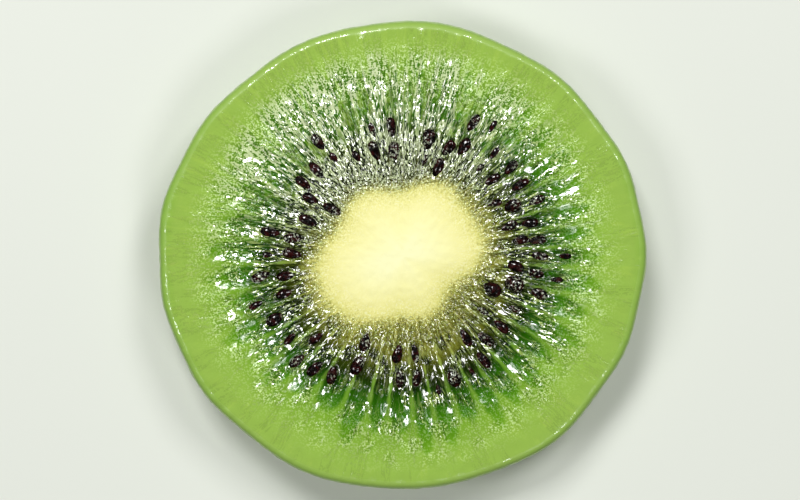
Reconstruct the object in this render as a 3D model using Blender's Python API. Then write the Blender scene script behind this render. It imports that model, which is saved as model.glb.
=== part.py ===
"""A fresh, peeled slice of kiwifruit: a ring of green flesh with seeds in it, round a pale core.

The slice lies on its flat underside, its wet cut face up and its longer side along X. Angles run
anticlockwise from +X, about the point that the pale rays of the flesh spread from.
"""

import math
import random

import bmesh
import bpy
from mathutils import Matrix, Vector, noise

MM = 0.001

# The slice
THICKNESS = 7.0 * MM
RIM_LENGTH = 49.0 * MM
RIM_WIDTH = 46.8 * MM
RIM_UNEVENNESS = 0.014
RIM_WAVES = 1.7
PEEL_STROKES = 13
PEEL_FLATNESS = 0.009
PEEL_STROKE_SPREAD = 0.12
SIDE_BULGE = 0.35 * MM
EDGE_ROUNDING = 0.7 * MM
EDGE_TURNS = (40, 90)
FOOT_ROUNDING = 0.5 * MM

# The core: its mean radius, and its lobes as (how many round it, share of the radius, degrees)
CORE_RADIUS = 7.3 * MM
CORE_LOBES = ((1, 0.075, 143), (2, 0.14, 27), (4, 0.04, 26), (5, 0.035, -6), (6, 0.04, 2))
CORE_CROWN = 0.45 * MM
CORE_GRAIN = 0.09 * MM
CORE_GRAIN_SIZE = 1.1 * MM
CORE_COLUMNS = 60
CORE_RINGS = 6
CORE_GAP = 0.3 * MM

# The pale rays between the seed chambers, in degrees
RAYS = (3.5, 11, 18.5, 27.5, 36, 45.5, 52.5, 59, 66, 73.5, 81.5, 90, 98.5, 108.5, 119.5, 130, 138.5,
        152, 164.5, 173.5, 183, 192, 201, 210.5, 219, 227.5, 237, 248, 257, 264.5, 273.5, 281, 289,
        297, 304.5, 312.5, 321, 329, 338, 347, 356)
RAY_HEIGHT = 0.34 * MM
RAY_START = 0.12
RAY_FADE = (0.43, 0.86)
CHAMBER_SINK = 0.30 * MM
CHAMBER_MIDDLE = 0.34
CHAMBER_SPREAD = 0.30
KNIFE_WAVE = 0.16 * MM
KNIFE_WAVE_SIZE = 11.0 * MM
PULP_BUMP = 0.10 * MM
PULP_BUMP_SIZE = 1.3 * MM
COLUMNS_A_CHAMBER = 4
FACE_RINGS = 12
FACE_RING_CROWDING = 1.15

# Seeds that show on the cut face, each as (degrees, millimetres from the middle of the rays)
PLAIN_SEEDS = (
    (0, 13.7), (6.5, 13.5), (8, 11.7), (14.5, 13.0), (16, 10.9), (22.5, 14.6), (31, 13.8),
    (39, 13.9), (40.5, 11.7), (62, 15.1), (60.5, 12.5), (67, 11.7), (68, 9.5), (95.5, 12.9),
    (105.5, 10.9), (127, 14.3), (135.5, 12.2), (143.5, 12.4), (148.5, 10.8), (147, 8.5),
    (160, 10.1), (170, 13.5), (171, 11.1), (179, 11.1), (188.5, 14.5), (190, 11.9), (198, 12.4),
    (223.5, 12.0), (225, 14.9), (232, 14.3), (239, 13.9), (247.5, 11.8), (246.5, 9.5),
    (266.5, 9.8), (268.5, 12.3), (276, 12.3), (277, 9.9), (307.5, 13.2), (307, 10.4),
    (314.5, 11.7), (324, 12.0), (345, 14.0), (353, 13.3), (355, 11.2))
PLUMP_SEEDS = ((25, 12.0), (77.5, 11.9), (95, 10.5), (206.5, 14.4), (292.5, 13.1), (339.5, 9.5),
               (346, 11.4))
SUNK_SEEDS = ((0, 16.1), (29, 10.6), (48, 13.8), (48.5, 11.5), (55, 15.8), (77, 9.8), (104, 13.1),
              (115.5, 10.8), (125.5, 11.8), (180, 13.4), (199, 15.6), (217, 14.2), (285, 13.6),
              (301, 13.3), (326, 9.6), (335, 12.2), (351, 15.6))

# Each kind of seed: its places, length, breadth, and how far its middle lies below the flesh
SEED_KINDS = (
    (PLAIN_SEEDS, 2.1 * MM, 1.15 * MM, 0.10 * MM),
    (PLUMP_SEEDS, 2.15 * MM, 1.5 * MM, 0.05 * MM),
    (SUNK_SEEDS, 1.9 * MM, 1.05 * MM, 0.28 * MM))
SEED_FLATNESS = 0.72
SEED_SIZE_SPREAD = 0.08
SEED_TURN = math.radians(16)
SEED_TILT = math.radians(9)
SEED_SIDES = 6
SEED_RINGS = 3
SEED_POINT = 0.22
SEED_DRAW = 7


def smooth_step(value, start, end):
    """Rises smoothly from 0 at start to 1 at end."""
    share = min(max((value - start) / (end - start), 0.0), 1.0)
    return share * share * (3.0 - 2.0 * share)


def point(angle, radius, height):
    return Vector((radius * math.cos(angle), radius * math.sin(angle), height))


def core_radius(angle):
    """The core's outline: a rounded, uneven hexagon."""
    lobes = sum(size * math.cos(count * (angle - math.radians(turn)))
                for count, size, turn in CORE_LOBES)
    return CORE_RADIUS * (1.0 + lobes)


def rim_radius(angle):
    """The slice's outline: an oval, slightly uneven, with the flats that the peeling knife left."""
    oval = math.hypot(math.cos(angle) / (RIM_LENGTH / 2), math.sin(angle) / (RIM_WIDTH / 2))
    uneven = RIM_UNEVENNESS * noise.noise(point(angle, RIM_WAVES, 0.0))
    stroke = PEEL_STROKES / 2 * (angle + PEEL_STROKE_SPREAD * math.sin(2 * angle))
    flat = PEEL_FLATNESS * math.sin(stroke) ** 2
    return (1.0 + uneven - flat) / oval


def ray_share(angle):
    """1 on a pale ray, 0 in the middle of a seed chamber."""
    degrees = math.degrees(angle) % 360
    starts = RAYS if degrees >= RAYS[0] else (RAYS[-1] - 360,) + RAYS
    start = max(ray for ray in starts if ray <= degrees)
    end = min((ray for ray in RAYS if ray > degrees), default=RAYS[0] + 360)
    return math.cos(math.pi * (degrees - start) / (end - start)) ** 2


def face_height(angle, radius):
    """Height of the cut face: chambers sunk between raised rays, round a crowned core."""
    core = core_radius(angle)
    share = (radius - core) / (rim_radius(angle) - core)
    place = point(angle, radius, 0.0)
    sink = CHAMBER_SINK * math.exp(-((share - CHAMBER_MIDDLE) / CHAMBER_SPREAD) ** 2)
    ray = RAY_HEIGHT * ray_share(angle) * smooth_step(share, 0.0, RAY_START)
    ray *= 1.0 - smooth_step(share, *RAY_FADE)
    crown = CORE_CROWN * max(0.0, 1.0 - (radius / core) ** 2)
    wave = KNIFE_WAVE * noise.noise(place / KNIFE_WAVE_SIZE)
    bump = PULP_BUMP * noise.noise(place / PULP_BUMP_SIZE)
    return THICKNESS - sink + ray + crown + wave + bump


def flesh_angles():
    """Columns of the flesh: the same number in every chamber, the first of them on its ray."""
    angles = []
    for start, end in zip(RAYS, RAYS[1:] + (RAYS[0] + 360,)):
        for column in range(COLUMNS_A_CHAMBER):
            degrees = start + (end - start) * column / COLUMNS_A_CHAMBER
            angles.append(math.radians(degrees))
    return angles


def middle_of_outline():
    """Middle of the rim's box, which is set over the origin."""
    points = [point(angle, rim_radius(angle) + SIDE_BULGE, 0.0) for angle in flesh_angles()]
    middle = [(min(p[axis] for p in points) + max(p[axis] for p in points)) / 2 for axis in (0, 1)]
    return Vector((middle[0], middle[1], 0.0))


def material(name, colour, roughness):
    made = bpy.data.materials.new(name)
    made.use_nodes = True
    shader = made.node_tree.nodes["Principled BSDF"]
    shader.inputs["Base Color"].default_value = (*colour, 1.0)
    shader.inputs["Roughness"].default_value = roughness
    shader.inputs["Metallic"].default_value = 0.0
    return made


def skin(shape, loop, next_loop):
    """Faces between two closed loops of points."""
    for index in range(len(loop)):
        following = (index + 1) % len(loop)
        shape.faces.new((loop[index], loop[following], next_loop[following], next_loop[index]))


def fan(shape, tip, loop):
    """Faces from one point to a closed loop."""
    for index, vertex in enumerate(loop):
        shape.faces.new((tip, vertex, loop[(index + 1) % len(loop)]))


def finished_object(name, shape, made):
    """Turns a closed shape into an object with its faces out and its material on."""
    bmesh.ops.recalc_face_normals(shape, faces=shape.faces)
    bmesh.ops.triangulate(shape, faces=shape.faces)
    mesh = bpy.data.meshes.new(name)
    shape.to_mesh(mesh)
    shape.free()
    mesh.materials.append(made)
    mesh.shade_smooth()
    made_object = bpy.data.objects.new(name, mesh)
    bpy.context.scene.collection.objects.link(made_object)
    return made_object


def flesh_loops(angles):
    """Loops round the flesh, from the hole's top edge out over the rim and back underneath."""
    loops = []
    for ring in range(FACE_RINGS + 1):
        share = (ring / FACE_RINGS) ** FACE_RING_CROWDING
        loop = []
        for angle in angles:
            hole = core_radius(angle) + CORE_GAP
            radius = hole + share * (rim_radius(angle) - EDGE_ROUNDING - hole)
            loop.append(point(angle, radius, face_height(angle, radius)))
        loops.append(loop)
    for turn in EDGE_TURNS:
        across = EDGE_ROUNDING * (1.0 - math.sin(math.radians(turn)))
        down = EDGE_ROUNDING * (1.0 - math.cos(math.radians(turn)))
        loops.append([point(angle, rim_radius(angle) - across,
                            face_height(angle, rim_radius(angle) - EDGE_ROUNDING) - down)
                      for angle in angles])
    loops.append([point(angle, rim_radius(angle) + SIDE_BULGE, THICKNESS / 2) for angle in angles])
    loops.append([point(angle, rim_radius(angle), FOOT_ROUNDING) for angle in angles])
    loops.append([point(angle, rim_radius(angle) - FOOT_ROUNDING, 0.0) for angle in angles])
    loops.append([point(angle, core_radius(angle) + CORE_GAP, 0.0) for angle in angles])
    return loops


def make_flesh(made):
    shape = bmesh.new()
    loops = [[shape.verts.new(place) for place in loop] for loop in flesh_loops(flesh_angles())]
    for loop, next_loop in zip(loops, loops[1:] + loops[:1]):
        skin(shape, loop, next_loop)
    return finished_object("flesh", shape, made)


def core_top(angle, radius):
    """A point of the core's grainy top."""
    grain = CORE_GRAIN * noise.noise(point(angle, radius, 0.0) / CORE_GRAIN_SIZE)
    return point(angle, radius, face_height(angle, radius) + grain)


def make_core(made):
    """The core: a plug that runs through the slice, gently crowned and grainy on top."""
    shape = bmesh.new()
    angles = [2 * math.pi * column / CORE_COLUMNS for column in range(CORE_COLUMNS)]
    loops = []
    for ring in range(1, CORE_RINGS + 1):
        share = ring / CORE_RINGS
        loops.append([shape.verts.new(core_top(angle, share * core_radius(angle)))
                      for angle in angles])
    loops.append([shape.verts.new(point(angle, core_radius(angle), 0.0)) for angle in angles])
    for loop, next_loop in zip(loops, loops[1:]):
        skin(shape, loop, next_loop)
    fan(shape, shape.verts.new(core_top(0.0, 0.0)), loops[0])
    fan(shape, shape.verts.new((0.0, 0.0, 0.0)), loops[-1])
    return finished_object("core", shape, made)


def make_seed(name, length, breadth, made):
    """A flattened drop, its narrow end towards -X."""
    shape = bmesh.new()
    loops = []
    for ring in range(1, SEED_RINGS + 1):
        turn = math.pi * ring / (SEED_RINGS + 1)
        along = -math.cos(turn)
        across = math.sin(turn) * (1.0 + SEED_POINT * along)
        loop = []
        for side in range(SEED_SIDES):
            angle = 2 * math.pi * side / SEED_SIDES
            loop.append(shape.verts.new((
                along * length / 2, across * math.cos(angle) * breadth / 2,
                across * math.sin(angle) * breadth / 2 * SEED_FLATNESS)))
        loops.append(loop)
    for loop, next_loop in zip(loops, loops[1:]):
        skin(shape, loop, next_loop)
    fan(shape, shape.verts.new((-length / 2, 0.0, 0.0)), loops[0])
    fan(shape, shape.verts.new((length / 2, 0.0, 0.0)), loops[-1])
    return finished_object(name, shape, made)


def make_seeds(collection, made):
    """Every seed in its place, half in the flesh, pointing more or less at the core."""
    draw = random.Random(SEED_DRAW)
    for places, length, breadth, depth in SEED_KINDS:
        for degrees, distance in places:
            angle = math.radians(degrees)
            size = 1.0 + draw.uniform(-SEED_SIZE_SPREAD, SEED_SIZE_SPREAD)
            seed = make_seed("seed", length * size, breadth * size, made)
            radius = distance * MM
            turn = Matrix.Rotation(angle + draw.uniform(-SEED_TURN, SEED_TURN), 4, "Z")
            tilt = Matrix.Rotation(draw.uniform(-SEED_TILT, SEED_TILT), 4, "Y")
            place = Matrix.Translation(point(angle, radius, face_height(angle, radius) - depth))
            seed.data.transform(place @ turn @ tilt)
            bpy.context.scene.collection.objects.unlink(seed)
            collection.objects.link(seed)


def fuse(base, collection):
    """Joins the collection's objects to the base by one union, and removes them."""
    union = base.modifiers.new("seeds", "BOOLEAN")
    union.operation = "UNION"
    union.operand_type = "COLLECTION"
    union.collection = collection
    union.solver = "EXACT"
    union.material_mode = "TRANSFER"
    graph = bpy.context.evaluated_depsgraph_get()
    fused = bpy.data.meshes.new_from_object(base.evaluated_get(graph))
    base.modifiers.remove(union)
    base.data = fused
    for seed in list(collection.objects):
        bpy.data.objects.remove(seed)
    bpy.data.collections.remove(collection)


def build():
    for old in list(bpy.data.objects):
        bpy.data.objects.remove(old)
    flesh = make_flesh(material("flesh", (0.20, 0.36, 0.055), 0.25))
    core = make_core(material("core", (0.93, 0.90, 0.46), 0.45))
    seeds = bpy.data.collections.new("seeds")
    bpy.context.scene.collection.children.link(seeds)
    make_seeds(seeds, material("seed", (0.021, 0.006, 0.004), 0.2))
    fuse(flesh, seeds)
    for node in (flesh, core):
        node.location = -middle_of_outline()


build()
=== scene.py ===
"""The looks of a fresh, peeled slice of kiwi fruit, lying with its wet cut face up.

Places on the slice are given as a turn round the point where the pale rays of the flesh meet
(anticlockwise from +X) and a distance out from that point. All lengths are in metres; what the
finishes read from the meshes is in millimetres.
"""

import math
import random

import bpy
import numpy as np
from mathutils import Euler, Matrix, Vector, kdtree, noise


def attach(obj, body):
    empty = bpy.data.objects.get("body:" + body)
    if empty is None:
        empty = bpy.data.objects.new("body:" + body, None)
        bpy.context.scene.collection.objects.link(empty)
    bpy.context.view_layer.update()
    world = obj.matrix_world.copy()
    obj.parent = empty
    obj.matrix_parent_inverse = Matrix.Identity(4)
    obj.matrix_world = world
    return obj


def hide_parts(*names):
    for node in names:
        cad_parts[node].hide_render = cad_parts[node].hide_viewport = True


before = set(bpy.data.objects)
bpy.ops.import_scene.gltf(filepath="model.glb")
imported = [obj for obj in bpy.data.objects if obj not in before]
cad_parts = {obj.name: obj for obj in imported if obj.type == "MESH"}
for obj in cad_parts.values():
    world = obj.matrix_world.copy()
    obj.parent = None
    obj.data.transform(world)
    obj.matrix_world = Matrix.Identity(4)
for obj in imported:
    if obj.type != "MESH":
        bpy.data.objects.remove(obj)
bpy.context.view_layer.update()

MM = 0.001
TOUCH = 0.01 * MM

# The solid slice, and where its rays meet, from the middle of its box
RAYS_MEET = (0.014 * MM, -0.10 * MM, 0.0)
THICKNESS = 7.0 * MM
SIDE_BULGE = 0.35 * MM
EDGE_ROUNDING = 0.7 * MM
FOOT_ROUNDING = 0.5 * MM
CORE_CROWN = 0.45 * MM
CORE_GAP = 0.3 * MM

# The pale rays between the seed chambers, in degrees, and the relief of the cut face
RAYS = (3.5, 11, 18.5, 27.5, 36, 45.5, 52.5, 59, 66, 73.5, 81.5, 90, 98.5, 108.5, 119.5, 130, 138.5,
        152, 164.5, 173.5, 183, 192, 201, 210.5, 219, 227.5, 237, 248, 257, 264.5, 273.5, 281, 289,
        297, 304.5, 312.5, 321, 329, 338, 347, 356)
RAY_HEIGHT = 0.34 * MM
RAY_START = 0.12
RAY_FADE = (0.43, 0.86)
CHAMBER_SINK = 0.30 * MM
CHAMBER_MIDDLE = 0.34
CHAMBER_SPREAD = 0.30
KNIFE_WAVE = 0.16 * MM
KNIFE_WAVE_SIZE = 11.0 * MM
PULP_BUMP = 0.10 * MM
PULP_BUMP_SIZE = 1.3 * MM
CORE_CALM = 0.3
CORE_CALM_END = (-0.06, 0.04)
CORE_GRAIN = 0.04 * MM
CORE_GRAIN_SIZE = 0.7 * MM
CORE_GRAIN_END = (-0.05, 0.03)

# Seeds that show on the cut face, each as (degrees, millimetres from the middle of the rays)
PLAIN_SEEDS = (
    (0, 13.7), (6.5, 13.5), (8, 11.7), (14.5, 13.0), (16, 10.9), (22.5, 14.6), (31, 13.8),
    (39, 13.9), (40.5, 11.7), (62, 15.1), (60.5, 12.5), (67, 11.7), (68, 9.5), (95.5, 12.9),
    (105.5, 10.9), (127, 14.3), (135.5, 12.2), (143.5, 12.4), (148.5, 10.8), (147, 8.5),
    (160, 10.1), (170, 13.5), (171, 11.1), (179, 11.1), (188.5, 14.5), (190, 11.9), (198, 12.4),
    (223.5, 12.0), (225, 14.9), (232, 14.3), (239, 13.9), (247.5, 11.8), (246.5, 9.5),
    (266.5, 9.8), (268.5, 12.3), (276, 12.3), (277, 9.9), (307.5, 13.2), (307, 10.4),
    (314.5, 11.7), (324, 12.0), (345, 14.0), (353, 13.3), (355, 11.2))
PLUMP_SEEDS = ((25, 12.0), (77.5, 11.9), (95, 10.5), (206.5, 14.4), (292.5, 13.1), (339.5, 9.5),
               (346, 11.4))
SUNK_SEEDS = ((0, 16.1), (29, 10.6), (48, 13.8), (48.5, 11.5), (55, 15.8), (77, 9.8), (104, 13.1),
              (115.5, 10.8), (125.5, 11.8), (180, 13.4), (199, 15.6), (217, 14.2), (285, 13.6),
              (301, 13.3), (326, 9.6), (335, 12.2), (351, 15.6))

# Each kind of seed: its places, length, breadth, and how far its middle lies below the flesh
SEED_KINDS = (
    (PLAIN_SEEDS, 2.1 * MM, 1.15 * MM, 0.10 * MM),
    (PLUMP_SEEDS, 2.15 * MM, 1.5 * MM, 0.05 * MM),
    (SUNK_SEEDS, 1.9 * MM, 1.05 * MM, 0.28 * MM))
SEED_FLATNESS = 0.72
SEED_SIZE_SPREAD = 0.08
SEED_TURN = math.radians(16)
SEED_TILT = math.radians(9)
SEED_POINT = 0.22
SEED_DRAW = 7
SEED_DENT = 0.035 * MM
SEED_DENT_SIZE = 0.35 * MM
SEED_LIP = 0.12 * MM
CUT_SEED_SHOWS = 0.02 * MM

# How far from a seed things are, as a multiple of its own outline: 1 is at the outline
LIP_MIDDLE = 1.2
LIP_SPREAD = 0.3
SACS_START = (0.8, 1.3)
FAR_FROM_SEEDS = 9.0

# The green of a seed chamber: where it is widest and where it ends, the pale rays beside it,
# and how soft and uneven its edge is
CHAMBER_DRAW = 5
CHAMBER_ENDS = (17.6 * MM, 20.8 * MM)
CHAMBER_FADE = (-2.2 * MM, 1.2 * MM)
CHAMBER_WIDEST = 15.2 * MM
RAY_WIDTHS = ((8.0 * MM, 0.07 * MM), (12.0 * MM, 0.11 * MM), (15.0 * MM, 0.18 * MM),
              (18.0 * MM, 0.36 * MM), (22.0 * MM, 0.8 * MM))
CHAMBER_SOFTNESS = ((8.0 * MM, 0.12 * MM), (13.0 * MM, 0.20 * MM), (18.0 * MM, 0.55 * MM))
CHAMBER_WOBBLE = 0.20 * MM
CHAMBER_WOBBLE_SIZE = 0.9 * MM
CHAMBER_END_WOBBLES = 2.0

# Juice sacs: a ring of them every length outwards, laid out on a circle of middling size, and
# each a flat, tilted facet with a crease round it. The side has no sacs, and a middling tone.
SAC_DRAW = 11
SAC_REACH = (5.0 * MM, 25.0 * MM)
SAC_COLUMNS = 250
SAC_CIRCLE = 14.0 * MM
SAC_SQUASH = ((5.0 * MM, 0.95), (8.0 * MM, 0.85), (12.5 * MM, 0.50), (25.0 * MM, 0.42))
SAC_HEIGHTS = (0.0 * MM, 0.14 * MM)
SAC_SLOPE_ACROSS = 0.62
SAC_SLOPE_ALONG = 1.0
SAC_CREASE = 0.10 * MM
MIDDLING_TONE = 0.5

# The table of the grain's own measure outwards: where it starts, and its steps
GRAIN_START = 1.0 * MM
GRAIN_STEPS = 400

# Where the flesh is wet and juicy past the core's edge, and where it calms down further out
WET_START = (-0.6 * MM, 1.6 * MM)
JUICY_START = (-0.9 * MM, 1.0 * MM)
JUICY_END = (15.5 * MM, 21.5 * MM)
CALM_FLESH = 0.05
RIM_CALM = (0.93, 1.0)

# Ruffled patches; the side the key light comes from, with more of them and with painted light that
# makes its chambers and sacs paler, and the plain side, with fewer
RUFFLE_SIZE = 1.5 * MM
RUFFLE_LEVEL = -0.10
RUFFLE_EDGE = (-0.36, 0.0)
SMOOTH_PATCHES_START = (8.5 * MM, 11.0 * MM)
SMOOTH_PATCH = 0.15
LIT_SIDE_TURN = math.radians(105)
LIT_SIDE_START = 0.6
LIT_SIDE_RUFFLE = 0.6
LIT_SIDE_PALE_TONE = 0.4
LIT_SIDE_PALER_CHAMBER = 0.3
PLAIN_TURN = math.radians(262)
PLAIN_START = 0.7
PLAIN_RUFFLE = 0.25

# Fibres of the peeled side
FIBRE_HEIGHT = 0.05 * MM
FIBRE_SIZE = 0.8 * MM
FIBRE_SQUASH = 0.2

# Fineness of the modelled surfaces, and the angle in degrees from which an edge stays sharp
SHARP_EDGE = 70
COLUMNS_A_CHAMBER = 20
FACE_RINGS = 95
FACE_RING_CROWDING = 1.12
RIM_BENDS = (22, 45, 67, 90)
SIDE_RINGS = 8
FOOT_BENDS = (90, 50, 15)
UNDER_RINGS = 9
CORE_RINGS = 60
CORE_RING_CROWDING = 0.75
SEED_SIDES = 18
SEED_RINGS = 13

# The camera stands straight above; the photograph's frame is this wide on the cut face
VIEW_WIDTH = 80.0 * MM
VIEW_OFFSET = Vector((-0.3 * MM, 0.6 * MM, 0.0))
LENS = 100.0
SENSOR_WIDTH = 36.0
NEAREST_SEEN = 10.0 * MM

# Softboxes: name, turn and lean from straight above in degrees, and power
SOFTBOXES = (("key_light", 112, 34, 1.55), ("second_light", 50, 38, 0.95),
             ("third_light", 305, 36, 0.65), ("fourth_light", 190, 38, 0.70))
SOFTBOX_WIDTH = 0.15
SOFTBOX_DISTANCE = 0.5
SKY_COLOUR = (0.97, 1.0, 0.95, 1.0)
SKY_STRENGTH = 0.012
BACKDROP_STRENGTH = 0.82
LIT = 1.25
FLOOR_WIDTH = 1.2
FLOOR_FADE = (0.25, 0.50)


# Shader maths


class Value:
    """A number that varies over a surface: Python's operators add Math nodes to its tree."""

    def __init__(self, finish, socket):
        self.finish = finish
        self.socket = socket

    def math(self, operation, *others):
        sockets = dict(enumerate((self,) + others))
        return self.finish.node("ShaderNodeMath", sockets, operation=operation)

    def __add__(self, other):
        return self.math("ADD", other)

    def __sub__(self, other):
        return self.math("SUBTRACT", other)

    def __mul__(self, other):
        return self.math("MULTIPLY", other)

    def __radd__(self, other):
        return self.math("ADD", other)

    def __rmul__(self, other):
        return self.math("MULTIPLY", other)

    def __rsub__(self, other):
        return self.finish.node("ShaderNodeMath", {0: other, 1: self}, operation="SUBTRACT")

    def between(self, low, high):
        """0 below low, 1 above high, smooth between."""
        sockets = {"Value": self, "From Min": low, "From Max": high}
        return self.finish.node("ShaderNodeMapRange", sockets, interpolation_type="SMOOTHSTEP")

    def until(self, low, high):
        """1 below low, 0 above high, smooth between."""
        return 1.0 - self.between(low, high)

    def run(self, start, end):
        """A share stretched, so that it runs from the start, at 0, to the end, at 1."""
        return start + (end - start) * self

    def at_least(self, least):
        """A share whose 0 is raised to the least one, and whose 1 stays."""
        return self.run(least, 1.0)

    def swing(self, size):
        """A noise's swing about its middle, times a size."""
        return (self - 0.5) * size


class Finish:
    """A material in the making."""

    def __init__(self, name):
        self.material = bpy.data.materials.new(name)
        self.material.use_nodes = True
        self.tree = self.material.node_tree
        self.tree.nodes.clear()

    def node(self, kind, sockets=None, output=0, stops=None, **settings):
        """Adds a node, sets it, then fills its sockets with values or links; gives an output."""
        made = self.tree.nodes.new(kind)
        for name, setting in settings.items():
            setattr(made, name, setting)
        if stops:
            elements = made.color_ramp.elements
            while len(elements) < len(stops):
                elements.new(0.5)
            for element, (position, colour) in zip(elements, stops):
                element.position = position
                element.color = colour
        for name, given in (sockets or {}).items():
            if isinstance(given, Value):
                self.tree.links.new(given.socket, made.inputs[name])
            else:
                made.inputs[name].default_value = given
        return Value(self, made.outputs[output])

    def attribute(self, name, output="Fac"):
        return self.node("ShaderNodeAttribute", output=output, attribute_name=name)

    def vector(self, operation, *given, output=0):
        sockets = dict(enumerate(given))
        return self.node("ShaderNodeVectorMath", sockets, output=output, operation=operation)

    def noise(self, vector, scale, detail=3.0, roughness=0.5):
        sockets = {"Vector": vector, "Scale": scale, "Detail": detail, "Roughness": roughness}
        return self.node("ShaderNodeTexNoise", sockets)

    def cells(self, vector, output, feature="F1", scale=1.0):
        sockets = {"Vector": vector, "Scale": scale}
        return self.node("ShaderNodeTexVoronoi", sockets, output=output, feature=feature)

    def ramp(self, value, stops):
        """Screen colours at given values, blended between them."""
        low = stops[0][0]
        span = stops[-1][0] - low
        share = (value - low) * (1.0 / span)
        placed = [((stop - low) / span, srgb(*colour)) for stop, colour in stops]
        return self.node("ShaderNodeValToRGB", {"Fac": share}, stops=placed)

    def mix(self, share, first, second):
        sockets = {0: share, 6: first, 7: second}
        return self.node("ShaderNodeMix", sockets, output=2, data_type="RGBA")

    def bump(self, height):
        """A surface that looks raised by a height in millimetres."""
        return self.node("ShaderNodeBump", {"Height": height, "Distance": MM})

    def surface(self, **sockets):
        """Ends the material in a Principled shader; a socket's words are joined by underscores."""
        named = {name.replace("_", " "): given for name, given in sockets.items()}
        shader = self.node("ShaderNodeBsdfPrincipled", named)
        end = self.tree.nodes.new("ShaderNodeOutputMaterial")
        self.tree.links.new(shader.socket, end.inputs["Surface"])
        return self.material


def srgb(red, green, blue):
    """A screen colour, 0 to 255, as the linear colour that shows so under the softboxes."""
    def linear(channel):
        share = channel / 255
        return (share / 12.92 if share <= 0.04045 else ((share + 0.055) / 1.055) ** 2.4) / LIT
    return (linear(red), linear(green), linear(blue), 1.0)


# Places on the slice


def edge_of(node, height, inward=0.0):
    """A solid's edge at one height, as turns round the middle of the rays and distances from it."""
    places = np.array([v.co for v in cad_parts[node].data.vertices
                       if abs(v.co.z - height) < TOUCH]) - MIDDLE
    out = np.hypot(places[:, 0], places[:, 1])
    turn = np.arctan2(places[:, 1], places[:, 0])
    at_edge = out > out.max() / 2
    return turn[at_edge], out[at_edge] - inward


MIDDLE = np.array(RAYS_MEET)
CORE_EDGE = edge_of("core", 0.0)
RIM = edge_of("flesh", THICKNESS / 2, inward=SIDE_BULGE)


def distance_of(edge, turn):
    """An edge's distance from the middle of the rays, at any turns."""
    order = np.argsort(edge[0])
    return np.interp(turn, edge[0][order], edge[1][order], period=2 * math.pi)


def smooth_step(value, start, end):
    share = np.clip((value - start) / (end - start), 0.0, 1.0)
    return share * share * (3.0 - 2.0 * share)


def read_off(table, value):
    """A value between the rows of a table of (place, value)."""
    places, values = zip(*table)
    return np.interp(value, places, values)


def noise_at(places, size):
    """Smooth noise, -1 to 1, at each of many places."""
    flat = np.asarray(places, float).reshape(-1, 3) / size
    found = np.array([noise.noise(place) for place in flat.tolist()])
    return found.reshape(np.shape(places)[:-1])


def level(turn, out):
    """Places in the plane of the middle of the rays, from their turns and distances."""
    return np.stack([out * np.cos(turn), out * np.sin(turn), np.zeros_like(out)], axis=-1)


def chambers_at(turn):
    """Which seed chamber each turn is in, how far across it, 0 to 1, and its width as a turn."""
    starts = np.array(RAYS + (RAYS[0] + 360,))
    degrees = np.degrees(turn) % 360
    degrees = np.where(degrees < RAYS[0], degrees + 360, degrees)
    chamber = np.clip(np.searchsorted(starts, degrees, side="right") - 1, 0, len(RAYS) - 1)
    width = starts[chamber + 1] - starts[chamber]
    return chamber, (degrees - starts[chamber]) / width, np.radians(width)


def share_of_way(turn, out):
    """How far out from the core's edge, 0, to the rim, 1; below 0 on the core."""
    core = distance_of(CORE_EDGE, turn)
    return (out - core) / (distance_of(RIM, turn) - core)


def face_height(turn, out):
    """Height of the solid slice's cut face."""
    share = share_of_way(turn, out)
    place = level(turn, out)
    across = chambers_at(turn)[1]
    sink = CHAMBER_SINK * np.exp(-((share - CHAMBER_MIDDLE) / CHAMBER_SPREAD) ** 2)
    ray = RAY_HEIGHT * np.cos(math.pi * across) ** 2 * smooth_step(share, 0.0, RAY_START)
    ray *= 1.0 - smooth_step(share, *RAY_FADE)
    crown = CORE_CROWN * np.clip(1.0 - (out / distance_of(CORE_EDGE, turn)) ** 2, 0.0, 1.0)
    wave = KNIFE_WAVE * noise_at(place, KNIFE_WAVE_SIZE)
    bump = PULP_BUMP * noise_at(place, PULP_BUMP_SIZE)
    bump *= CORE_CALM + (1.0 - CORE_CALM) * smooth_step(share, *CORE_CALM_END)
    return THICKNESS - sink + ray + crown + wave + bump


def chamber_green(turn, out):
    """1 in the green of a seed chamber, 0 on the pale rays and in the flesh outside them."""
    draw = random.Random(CHAMBER_DRAW)
    ends = np.array([draw.uniform(*CHAMBER_ENDS) for _ in RAYS])
    wobble = CHAMBER_WOBBLE * noise_at(level(turn, out), CHAMBER_WOBBLE_SIZE)
    chamber, across, width = chambers_at(turn)
    from_middle = np.abs(across - 0.5) * width * out
    end = ends[chamber] + CHAMBER_END_WOBBLES * wobble
    past_widest = np.clip((out - CHAMBER_WIDEST) / (end - CHAMBER_WIDEST), 0.0, 1.0)
    half_width = width * out / 2 - read_off(RAY_WIDTHS, out)
    half_width = half_width * np.sqrt(1.0 - past_widest ** 2)
    softness = read_off(CHAMBER_SOFTNESS, out)
    edge = smooth_step(half_width + wobble - from_middle, -softness, softness)
    return edge * (1.0 - smooth_step(out - end, *CHAMBER_FADE))


# Seeds


def seeds():
    """Every seed that shows, as (matrix, length, breadth)."""
    draw = random.Random(SEED_DRAW)
    found = []
    for places, length, breadth, depth in SEED_KINDS:
        for degrees, distance in places:
            turn = math.radians(degrees)
            size = 1.0 + draw.uniform(-SEED_SIZE_SPREAD, SEED_SIZE_SPREAD)
            spin = turn + draw.uniform(-SEED_TURN, SEED_TURN)
            tilt = draw.uniform(-SEED_TILT, SEED_TILT)
            out = distance * MM
            height = float(face_height(np.array([turn]), np.array([out]))[0]) - depth
            place = Vector((out * math.cos(turn), out * math.sin(turn), height))
            matrix = (Matrix.Translation(place) @ Matrix.Rotation(spin, 4, "Z")
                      @ Matrix.Rotation(tilt, 4, "Y"))
            found.append((matrix, length * size, breadth * size))
    return found


SEEDS = seeds()


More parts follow.
